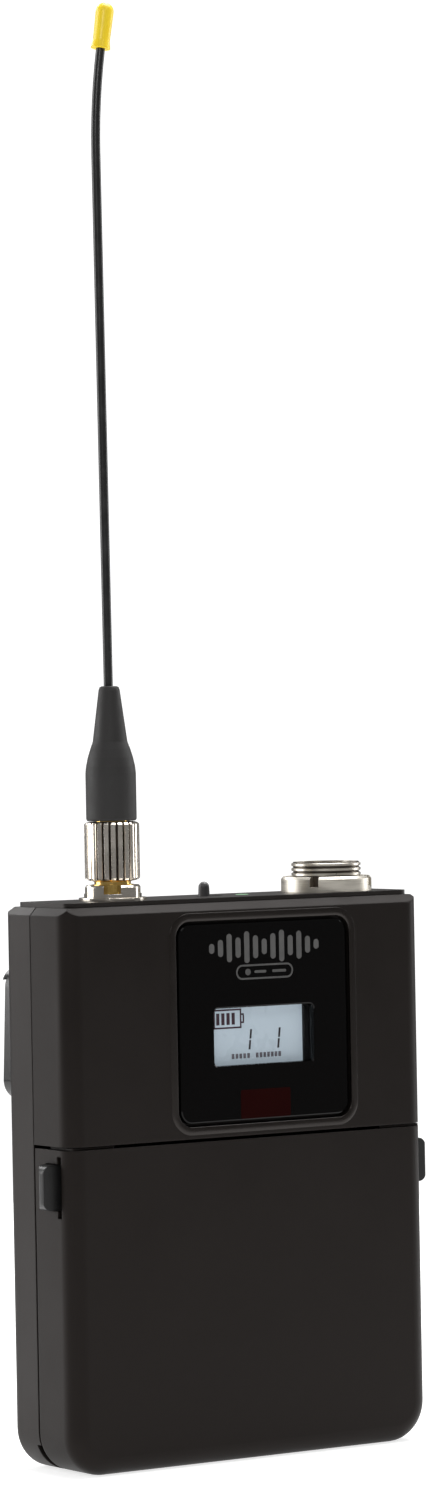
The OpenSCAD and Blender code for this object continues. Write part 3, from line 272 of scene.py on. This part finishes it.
FINISHES = {
    # front_cover and battery_door take the shaded copy of the powder coat (painted shade)
    "rear_shell": PAINT, "front_cover": PAINT_FRONT_SHADED, "battery_door": PAINT_FRONT_SHADED, "top_plate": PLATE,
    "door_pad": FOAM, "window_gasket": FOAM, "hinge_pin": STEEL,
    "latch_left": PLASTIC, "latch_right": PLASTIC, "latch_spring_left": SPRING, "latch_spring_right": SPRING,
    "latch_retainer_left": STEEL, "latch_retainer_right": STEEL,
    "window_lens": PANEL, "ir_window": IR, "ir_transceiver": CHIP,
    "display_frame": PLASTIC, "display_glass": LCD, "display_backlight": GUIDE, "display_ribbon": RIBBON,
    "main_board": BOARD, "board_components": CHIP, "shield_can": TIN, "board_screws": STEEL,
    "button_housing": PLASTIC, "key_menu": KEY, "key_enter": KEY, "key_down": KEY, "key_up": KEY,
    "key_switches": TIN, "switch_body": PLASTIC, "switch_nub": NUB, "power_light": LIGHT,
    "jack_body": GOLD, "jack_insulator": PTFE, "jack_contact": GOLD, "jack_washer": NICKEL,
    "jack_nut": NICKEL, "coax_lead": COAX,
    "antenna_nut": NICKEL, "antenna_ferrule": GOLD, "antenna_pin": GOLD, "antenna_boot": RUBBER,
    "antenna_whip": JACKET, "antenna_tip": YELLOW,
    "mic_shell": THREADED, "mic_insulator": PLASTIC, "mic_pins": GOLD, "mic_nut": BRUSHED, "mic_wires": WIRE,
    "battery_tray": PLASTIC,
    "cell_upper": cell_wrap("cell_wrap_upper", 1), "cell_lower": cell_wrap("cell_wrap_lower", -1),
    "link_contact": TIN, "positive_contact": TIN, "negative_contact": TIN,
    "belt_clip": CLIP, "clip_foot": CLIP, "clip_screws": STEEL, "case_screws": STEEL,
}
for node_name, finish_material in FINISHES.items():
    mesh = NODES[node_name].data
    mesh.materials.clear()
    mesh.materials.append(finish_material)

# ---------------------------------------------------------------- modelling helpers
SMOOTH_BELOW = 24


def make_piece(name, verts, faces, material, body, slot, smooth=True):
    """Visible mesh from points in mm, which moves with a body. The slot argument is not used."""
    mesh = bpy.data.meshes.new(name)
    mesh.from_pydata([tuple(c * MM for c in v) for v in verts], [], faces)
    mesh.materials.append(material)
    if smooth:
        mesh.polygons.foreach_set("use_smooth", [True] * len(mesh.polygons))
        mesh.set_sharp_from_angle(angle=math.radians(SMOOTH_BELOW))
    mesh.validate()
    obj = bpy.data.objects.new(name, mesh)
    bpy.context.scene.collection.objects.link(obj)
    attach(obj, body)
    return obj


def rounded(cx, cz, w, h, r, steps=10):
    """Outline of a rounded rectangle in X and Z, anticlockwise seen from the front."""
    points = []
    for sx, sz, start in ((1, 1, 0), (-1, 1, 90), (-1, -1, 180), (1, -1, 270)):
        for i in range(steps + 1):
            a = math.radians(start + 90 * i / steps)
            points.append((cx + sx * (w / 2 - r) + r * math.cos(a), cz + sz * (h / 2 - r) + r * math.sin(a)))
    return points


def frame_loops(loops):
    """Closed frame: neighbouring loops of (x, y, z) points are joined, and the last one to the first."""
    n, m = len(loops[0]), len(loops)
    verts = [p for loop in loops for p in loop]
    faces = []
    for k in range(m):
        for i in range(n):
            j, q = (i + 1) % n, (k + 1) % m
            faces.append((k * n + i, k * n + j, q * n + j, q * n + i))
    return verts, faces


def at_depth(outline, y):
    """The (x, z) outline as (x, y, z) points."""
    return [(x, y, z) for x, z in outline]


def prism(outline, front, back):
    """Solid from an (x, z) outline between two depths."""
    n = len(outline)
    verts = at_depth(outline, back) + at_depth(outline, front)
    faces = [tuple(range(n))]
    for i in range(n):
        j = (i + 1) % n
        faces.append((i, n + i, n + j, j))
    faces.append(tuple(n + i for i in reversed(range(n))))
    return verts, faces


def joined(parts):
    """Several (verts, faces) pairs as one."""
    verts, faces = [], []
    for v, f in parts:
        base = len(verts)
        verts += v
        faces += [tuple(base + i for i in face) for face in f]
    return verts, faces


# ---------------------------------------------------------------- window panel
lens_low, lens_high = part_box("window_lens")
lens_cx = (lens_low.x + lens_high.x) / 2 / MM
lens_cz = (lens_low.z + lens_high.z) / 2 / MM
lens_w = (lens_high.x - lens_low.x) / MM
lens_h = (lens_high.z - lens_low.z) / MM
lens_front = lens_low.y / MM
lens_back = lens_high.y / MM
LENS_R = 2.0
LCD_CZ = lens_cz - 2.25
LCD_W, LCD_H, LCD_R = 18.4, 8.7, 0.75
PANE_GAP, PANE_SET_BACK, PANE_REAR_GAP = 0.01, 0.42, 0.1
# the panel's outer edge and its opening: growth of the outline, and depth from the front
EDGE_SECTION = ((0, 0.30), (-0.07, 0.10), (-0.25, 0))
OPENING_SECTION = ((0.28, 0), (0.08, 0.12), (0, PANE_SET_BACK))
ir_low, ir_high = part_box("ir_window")


def lens_loop(grow, y):
    return at_depth(rounded(lens_cx, lens_cz, lens_w + 2 * grow, lens_h + 2 * grow, LENS_R + grow), y)


def lcd_outline(grow):
    return rounded(lens_cx, LCD_CZ, LCD_W + 2 * grow, LCD_H + 2 * grow, LCD_R + grow)


def window_panel():
    """Glossy panel with a softly rounded outer edge and a chamfered opening for the display."""
    loops = [lens_loop(0, lens_back)]
    loops += [lens_loop(grow, lens_front + depth) for grow, depth in EDGE_SECTION]
    loops += [at_depth(lcd_outline(grow), lens_front + depth) for grow, depth in OPENING_SECTION]
    loops.append(at_depth(lcd_outline(0), lens_back))
    return make_piece("window_panel", *frame_loops(loops), PANEL, "case", "lens")


panel = window_panel()
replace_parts(panel, "window_lens")

make_piece("window_pane", *prism(lcd_outline(-PANE_GAP), lens_front + PANE_SET_BACK,
                                 lens_back - PANE_REAR_GAP), CLEAR, "case", "lens")

ir_cx, ir_cz = (ir_low.x + ir_high.x) / 2 / MM, (ir_low.z + ir_high.z) / 2 / MM
IR_W, IR_H, IR_R = 9.25, 4.4, 0.3
IR_PROUD, IR_DEPTH = 0.012, 0.2
make_piece("ir_face", *prism(rounded(ir_cx, ir_cz, IR_W, IR_H, IR_R), lens_front - IR_PROUD,
                             lens_front + IR_DEPTH), IR, "case", "ir_red")

COVER_FRONT = -8.6
RIM_GAP, RIM_R, RIM_STEPS = 0.5, 0.62, 8
RIM_SINK, RIM_RISE, RIM_FOOT = 0.02, 0.12, 0.3


def window_rim():
    """Rounded rim of the case around the panel, with its foot inside the cover."""
    loops = []
    for k in range(RIM_STEPS + 1):
        a = math.pi * k / RIM_STEPS
        grow = RIM_GAP + RIM_R * (1 - math.cos(a))
        loops.append(lens_loop(grow, COVER_FRONT + RIM_SINK - RIM_RISE * math.sin(a)))
    loops.append(lens_loop(RIM_GAP + 2 * RIM_R, COVER_FRONT + RIM_FOOT))
    loops.append(lens_loop(RIM_GAP, COVER_FRONT + RIM_FOOT))
    return make_piece("window_rim", *frame_loops(loops[::-1]), RIM, "case", "case_paint")


window_rim()

# generic printed emblem: a sound wave of rounded bars, and a plain capsule line under it
PRINT_FRONT, PRINT_BACK = lens_front - 0.02, lens_front + 0.05
PRINT_CX, WAVE_CZ, CAPSULE_CZ = lens_cx + 0.2, 78.3, 74.5
WAVE_HEIGHTS = (1.5, 2.6, 4.3, 3.1, 4.85, 3.5, 2.4, 3.9, 4.85, 3.1, 4.3, 2.6, 1.5)
WAVE_PITCH, WAVE_BAR_W, WAVE_MIDDLE = 1.62, 0.95, 6
CAPSULE_W, CAPSULE_H, CAPSULE_R, CAPSULE_LINE = 10.6, 2.3, 1.14, 0.28
# bars in the capsule: distance from its middle, width and height
CAPSULE_BARS = ((-3.1, 1.0, 1.0), (-0.8, 2.2, 0.42), (2.7, 2.6, 0.42))


def bar(cx, cz, w, h):
    """Printed bar with nearly round ends."""
    return prism(rounded(cx, cz, w, h, min(w, h) / 2 * 0.98, 6), PRINT_FRONT, PRINT_BACK)


def ring(cx, cz, w, h, r, line, front, back):
    outer = rounded(cx, cz, w, h, r, 8)
    inner = rounded(cx, cz, w - 2 * line, h - 2 * line, r - line, 8)
    return frame_loops([at_depth(outer, back), at_depth(outer, front), at_depth(inner, front),
                        at_depth(inner, back)])


emblem = joined([bar(PRINT_CX + (i - WAVE_MIDDLE) * WAVE_PITCH, WAVE_CZ, WAVE_BAR_W, h)
                 for i, h in enumerate(WAVE_HEIGHTS)])
make_piece("emblem_wave", *emblem, PRINT, "case", "lens")
label = joined([ring(PRINT_CX, CAPSULE_CZ, CAPSULE_W, CAPSULE_H, CAPSULE_R, CAPSULE_LINE, PRINT_FRONT,
                     PRINT_BACK)]
               + [bar(PRINT_CX + dx, CAPSULE_CZ, w, h) for dx, w, h in CAPSULE_BARS])
make_piece("label_capsule", *label, PRINT_DIM, "case", "lens")

# ---------------------------------------------------------------- knurled antenna nut
nut_low, nut_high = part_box("antenna_nut")
NUT_X, NUT_Y = (nut_low.x + nut_high.x) / 2 / MM, (nut_low.y + nut_high.y) / 2 / MM
KNURL_RIDGES = 24
# one ridge: share of the pitch from its middle, and share of its height
KNURL_PROFILE = ((-0.43, 0), (-0.31, 1), (-0.12, 1.06), (0.12, 1.06), (0.31, 1), (0.43, 0))
# from either end inwards: distance from the end, radius in the grooves, radius on the ridges
NUT_SECTION = ((0, 2.56, 2.56), (0, 3.4, 3.4), (0.12, 3.70, 3.76), (0.14, 3.76, 3.92), (0.42, 3.76, 4.18))


def knurled_nut():
    """Straight knurl: flat-topped ridges between narrow grooves, chamfered at both ends."""
    z0, z1 = nut_low.z / MM, nut_high.z / MM

    def loop(z, inner, outer):
        points = []
        for k in range(KNURL_RIDGES):
            for phase, rise in KNURL_PROFILE:
                r = inner + (outer - inner) * rise
                a = 2 * math.pi * (k + phase) / KNURL_RIDGES
                points.append((NUT_X + r * math.cos(a), NUT_Y + r * math.sin(a), z))
        return points

    rows = [loop(z0 + inset, inner, outer) for inset, inner, outer in NUT_SECTION]
    rows += [loop(z1 - inset, inner, outer) for inset, inner, outer in reversed(NUT_SECTION)]
    verts, faces = frame_loops(rows)
    return make_piece("knurled_nut", verts, [f[::-1] for f in faces], KNURLED, "antenna nut", "nickel")


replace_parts(knurled_nut(), "antenna_nut")

# ---------------------------------------------------------------- latch springs
COIL_R, WIRE_R, COIL_TURNS = 1.05, 0.16, 6
TURN_STEPS, WIRE_SIDES = 24, 8
# the first and the last turns lie closed, as on a ground spring
CLOSED_TURNS, CLOSED_SHARE = 0.75, 0.03


def latch_coil(name, node):
    """Coil along X between the latch and its seat in the door."""
    low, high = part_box(node)
    x0, x1 = low.x / MM + WIRE_R, high.x / MM - WIRE_R
    cy, cz = (low.y + high.y) / 2 / MM, (low.z + high.z) / 2 / MM
    steps = COIL_TURNS * TURN_STEPS
    verts = []
    for i in range(steps + 1):
        part = i / steps
        climb = min(max((part * COIL_TURNS - CLOSED_TURNS) / (COIL_TURNS - 2 * CLOSED_TURNS), 0), 1)
        x = x0 + (x1 - x0) * (CLOSED_SHARE * part + (1 - CLOSED_SHARE) * climb)
        a = 2 * math.pi * COIL_TURNS * part
        for k in range(WIRE_SIDES):
            b = 2 * math.pi * k / WIRE_SIDES
            r = COIL_R + WIRE_R * math.cos(b)
            verts.append((x + WIRE_R * math.sin(b), cy + r * math.cos(a), cz + r * math.sin(a)))
    faces = []
    for i in range(steps):
        here, ahead = i * WIRE_SIDES, (i + 1) * WIRE_SIDES
        for k in range(WIRE_SIDES):
            j = (k + 1) % WIRE_SIDES
            faces.append((here + k, here + j, ahead + j, ahead + k))
    faces.append(tuple(range(WIRE_SIDES))[::-1])
    faces.append(tuple(steps * WIRE_SIDES + k for k in range(WIRE_SIDES)))
    coil = make_piece(name, verts, faces, SPRING, "door", "spring_steel")
    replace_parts(coil, node)
    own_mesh(coil)


latch_coil("coil_right", "latch_spring_right")
latch_coil("coil_left", "latch_spring_left")

# ---------------------------------------------------------------- display contents
glass_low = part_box("display_glass")[0]
SEG_FRONT = glass_low.y / MM - 0.03
SEG_BACK = glass_low.y / MM + 0.05


def lcd_bar(x0, z0, x1, z1, lean=0.0):
    outline = [(x0, z0), (x1, z0), (x1 + lean, z1), (x0 + lean, z1)]
    return prism(outline, SEG_FRONT, SEG_BACK)


def lcd_frame(x0, z0, x1, z1, line):
    return joined([lcd_bar(x0, z0, x1, z0 + line), lcd_bar(x0, z1 - line, x1, z1),
                   lcd_bar(x0, z0 + line, x0 + line, z1 - line),
                   lcd_bar(x1 - line, z0 + line, x1, z1 - line)])


LCD_LINE = 0.26
BATTERY_X0, BATTERY_X1, BATTERY_Z0, BATTERY_Z1 = -5.0, 0.15, 65.85, 68.85
NUB_X1, NUB_X2, NUB_Z0, NUB_Z1 = 0.62, 0.66, 66.6, 68.10
CHARGE_BARS, CHARGE_X, CHARGE_W, CHARGE_PITCH = 4, -4.5, 0.58, 0.95
CHARGE_Z0, CHARGE_Z1 = 66.45, 68.25
battery = [lcd_frame(BATTERY_X0, BATTERY_Z0, BATTERY_X1, BATTERY_Z1, LCD_LINE),
           lcd_bar(BATTERY_X1, NUB_Z0, NUB_X1, NUB_Z0 + LCD_LINE),
           lcd_bar(BATTERY_X1, NUB_Z1 - LCD_LINE, NUB_X1, NUB_Z1),
           lcd_bar(NUB_X2 - LCD_LINE, NUB_Z0 + LCD_LINE, NUB_X2, NUB_Z1 - LCD_LINE)]
for i in range(CHARGE_BARS):
    left = CHARGE_X + CHARGE_PITCH * i
    battery.append(lcd_bar(left, CHARGE_Z0, left + CHARGE_W, CHARGE_Z1))
make_piece("lcd_battery", *joined(battery), LCD_ICON, "case", "lcd", smooth=False)

DIGIT_X = (1.6, 6.95)
DIGIT_W, DIGIT_H, DIGIT_LEAN = 0.34, 1.45, 0.16
DIGIT_LOWER_Z, DIGIT_UPPER_Z, DIGIT_SHIFT = 62.5, 64.15, 0.20


def digit_one(x):
    lower = x - DIGIT_SHIFT
    return [lcd_bar(lower, DIGIT_LOWER_Z, lower + DIGIT_W, DIGIT_LOWER_Z + DIGIT_H, DIGIT_LEAN),
            lcd_bar(x, DIGIT_UPPER_Z, x + DIGIT_W, DIGIT_UPPER_Z + DIGIT_H, DIGIT_LEAN)]


make_piece("lcd_digits", *joined(digit_one(DIGIT_X[0]) + digit_one(DIGIT_X[1])), LCD_DARK, "case", "lcd",
           smooth=False)

# rows of small marks: first left edge, pitch and count
MARK_ROWS = ((-1.75, 0.72, 5), (2.75, 0.70, 7))
MARK_W, MARK_Z0, MARK_Z1 = 0.48, 61.2, 61.95
dashes = [lcd_bar(x + pitch * i, MARK_Z0, x + pitch * i + MARK_W, MARK_Z1)
          for x, pitch, count in MARK_ROWS for i in range(count)]
make_piece("lcd_marks", *joined(dashes), LCD_FINE, "case", "lcd", smooth=False)

# ---------------------------------------------------------------- button symbols
key_low, key_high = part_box("key_menu")
KEY_Z = (key_low.z + key_high.z) / 2 / MM
KEY_FACE = key_low.y / MM
SYMBOL_FRONT, SYMBOL_BACK = KEY_FACE - 0.03, KEY_FACE + 0.1
SYMBOL_LINE = 0.36
MENU_W, MENU_R, MENU_PITCH = 2.6, 0.17, 0.8
ENTER_D, ENTER_R = 2.2, 1.09
ARROW_HALF_W, ARROW_TIP, ARROW_BASE = 1.2, 0.95, 0.75


def symbol(outline):
    return prism(outline, SYMBOL_FRONT, SYMBOL_BACK)


def key_centre(node):
    low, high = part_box(node)
    return (low.x + high.x) / 2 / MM


x_menu, x_enter = key_centre("key_menu"), key_centre("key_enter")
x_down, x_up = key_centre("key_down"), key_centre("key_up")
menu_lines = [symbol(rounded(x_menu, KEY_Z + dz, MENU_W, SYMBOL_LINE, MENU_R, 4))
              for dz in (-MENU_PITCH, 0, MENU_PITCH)]
make_piece("symbol_menu", *joined(menu_lines), ICON, "menu button", "key_grey")
make_piece("symbol_enter", *ring(x_enter, KEY_Z, ENTER_D, ENTER_D, ENTER_R, SYMBOL_LINE, SYMBOL_FRONT,
                                 SYMBOL_BACK), ICON, "enter button", "key_grey")
arrow_down = [(x_down, KEY_Z - ARROW_TIP), (x_down + ARROW_HALF_W, KEY_Z + ARROW_BASE),
              (x_down - ARROW_HALF_W, KEY_Z + ARROW_BASE)]
make_piece("symbol_down", *symbol(arrow_down), ICON, "down button", "key_grey")
arrow_up = [(x_up - ARROW_HALF_W, KEY_Z - ARROW_BASE), (x_up + ARROW_HALF_W, KEY_Z - ARROW_BASE),
            (x_up, KEY_Z + ARROW_TIP)]
make_piece("symbol_up", *symbol(arrow_up), ICON, "up button", "key_grey")

# ---------------------------------------------------------------- floor, world, lights, camera
FLOOR_R = 0.42


def stage_floor():
    """White disc under the object."""
    mesh = bpy.data.meshes.new("floor")
    ring_points = [(FLOOR_R * math.cos(math.radians(a)), FLOOR_R * math.sin(math.radians(a)), 0)
                   for a in range(0, 360, 5)]
    mesh.from_pydata(ring_points, [], [tuple(range(len(ring_points)))])
    mat, tree, bsdf = shader("floor_white")
    bsdf.inputs["Base Color"].default_value = (0.6, 0.6, 0.6, 1)
    bsdf.inputs["Roughness"].default_value = 0.9
    bsdf.inputs["Specular IOR Level"].default_value = 0.1
    bsdf.inputs["Emission Color"].default_value = (1, 1, 1, 1)
    bsdf.inputs["Emission Strength"].default_value = 0.72
    mesh.materials.append(mat)
    obj = bpy.data.objects.new("floor", mesh)
    bpy.context.scene.collection.objects.link(obj)


stage_floor()


def stage_world():
    """Dim white light on the object, and bright white where the camera sees past it."""
    world = bpy.data.worlds.new("studio")
    bpy.context.scene.world = world
    world.use_nodes = True
    tree = world.node_tree
    back = tree.nodes["Background"]
    back.inputs["Color"].default_value = (1, 1, 1, 1)
    back.inputs["Strength"].default_value = 0.20
    seen = tree.nodes.new("ShaderNodeBackground")
    seen.inputs["Color"].default_value = (1, 1, 1, 1)
    seen.inputs["Strength"].default_value = 1.15
    path = tree.nodes.new("ShaderNodeLightPath")
    mix = tree.nodes.new("ShaderNodeMixShader")
    link(tree, path.outputs["Is Camera Ray"], mix.inputs[0])
    link(tree, back.outputs[0], mix.inputs[1])
    link(tree, seen.outputs[0], mix.inputs[2])
    link(tree, mix.outputs[0], tree.nodes["World Output"].inputs["Surface"])


stage_world()


def softbox(name, place, target, size, power, size_y=None):
    """Area light aimed at a point, in metres and watts."""
    light = bpy.data.lights.new(name, "AREA")
    light.shape = "RECTANGLE"
    light.size = size
    light.size_y = size_y or size
    light.energy = power
    obj = bpy.data.objects.new(name, light)
    bpy.context.scene.collection.objects.link(obj)
    obj.location = place
    aim = Vector(target) - Vector(place)
    obj.rotation_euler = aim.to_track_quat("-Z", "Y").to_euler()


softbox("soft_left_back", (-0.62, 0.62, 0.30), (0, 0, 0.07), 0.55, 4.6, 0.6)
softbox("soft_top", (0.28, 0.12, 0.92), (0, 0, 0.0), 0.75, 13.0)
softbox("soft_right", (0.85, -0.10, 0.30), (0, 0, 0.10), 0.25, 2.2, 0.6)
softbox("soft_front", (-0.10, -0.95, 0.95), (0, 0, 0.08), 0.45, 1.0)
softbox("soft_tip", (-0.45, -0.45, 0.42), (-0.019, 0, 0.215), 0.12, 0.8)
softbox("soft_back_high", (-0.05, 0.80, 0.62), (0, 0, 0.08), 0.30, 1.6)

CAMERA_PLACE = (-0.44407, -0.65394, 0.113756)
CAMERA_RIGHT = Vector((0.826655, -0.562415, -0.018176))
CAMERA_UP = Vector((0.018824, -0.004644, 0.999812))
CAMERA_BACK = Vector((-0.562394, -0.826842, 0.006748))
camera_data = bpy.data.cameras.new("camera")
camera_data.sensor_fit = "VERTICAL"
camera_data.sensor_height = 36.0
camera_data.sensor_width = 36.0
camera_data.lens = 123.23
camera_data.clip_start = 0.01
camera_data.clip_end = 60.0
camera = bpy.data.objects.new("camera", camera_data)
bpy.context.scene.collection.objects.link(camera)
turn = Matrix((CAMERA_RIGHT, CAMERA_UP, CAMERA_BACK)).transposed().to_4x4()
camera.matrix_world = Matrix.Translation(CAMERA_PLACE) @ turn
bpy.context.scene.camera = camera

bpy.context.scene.view_settings.view_transform = "Standard"
bpy.context.scene.view_settings.look = "None"
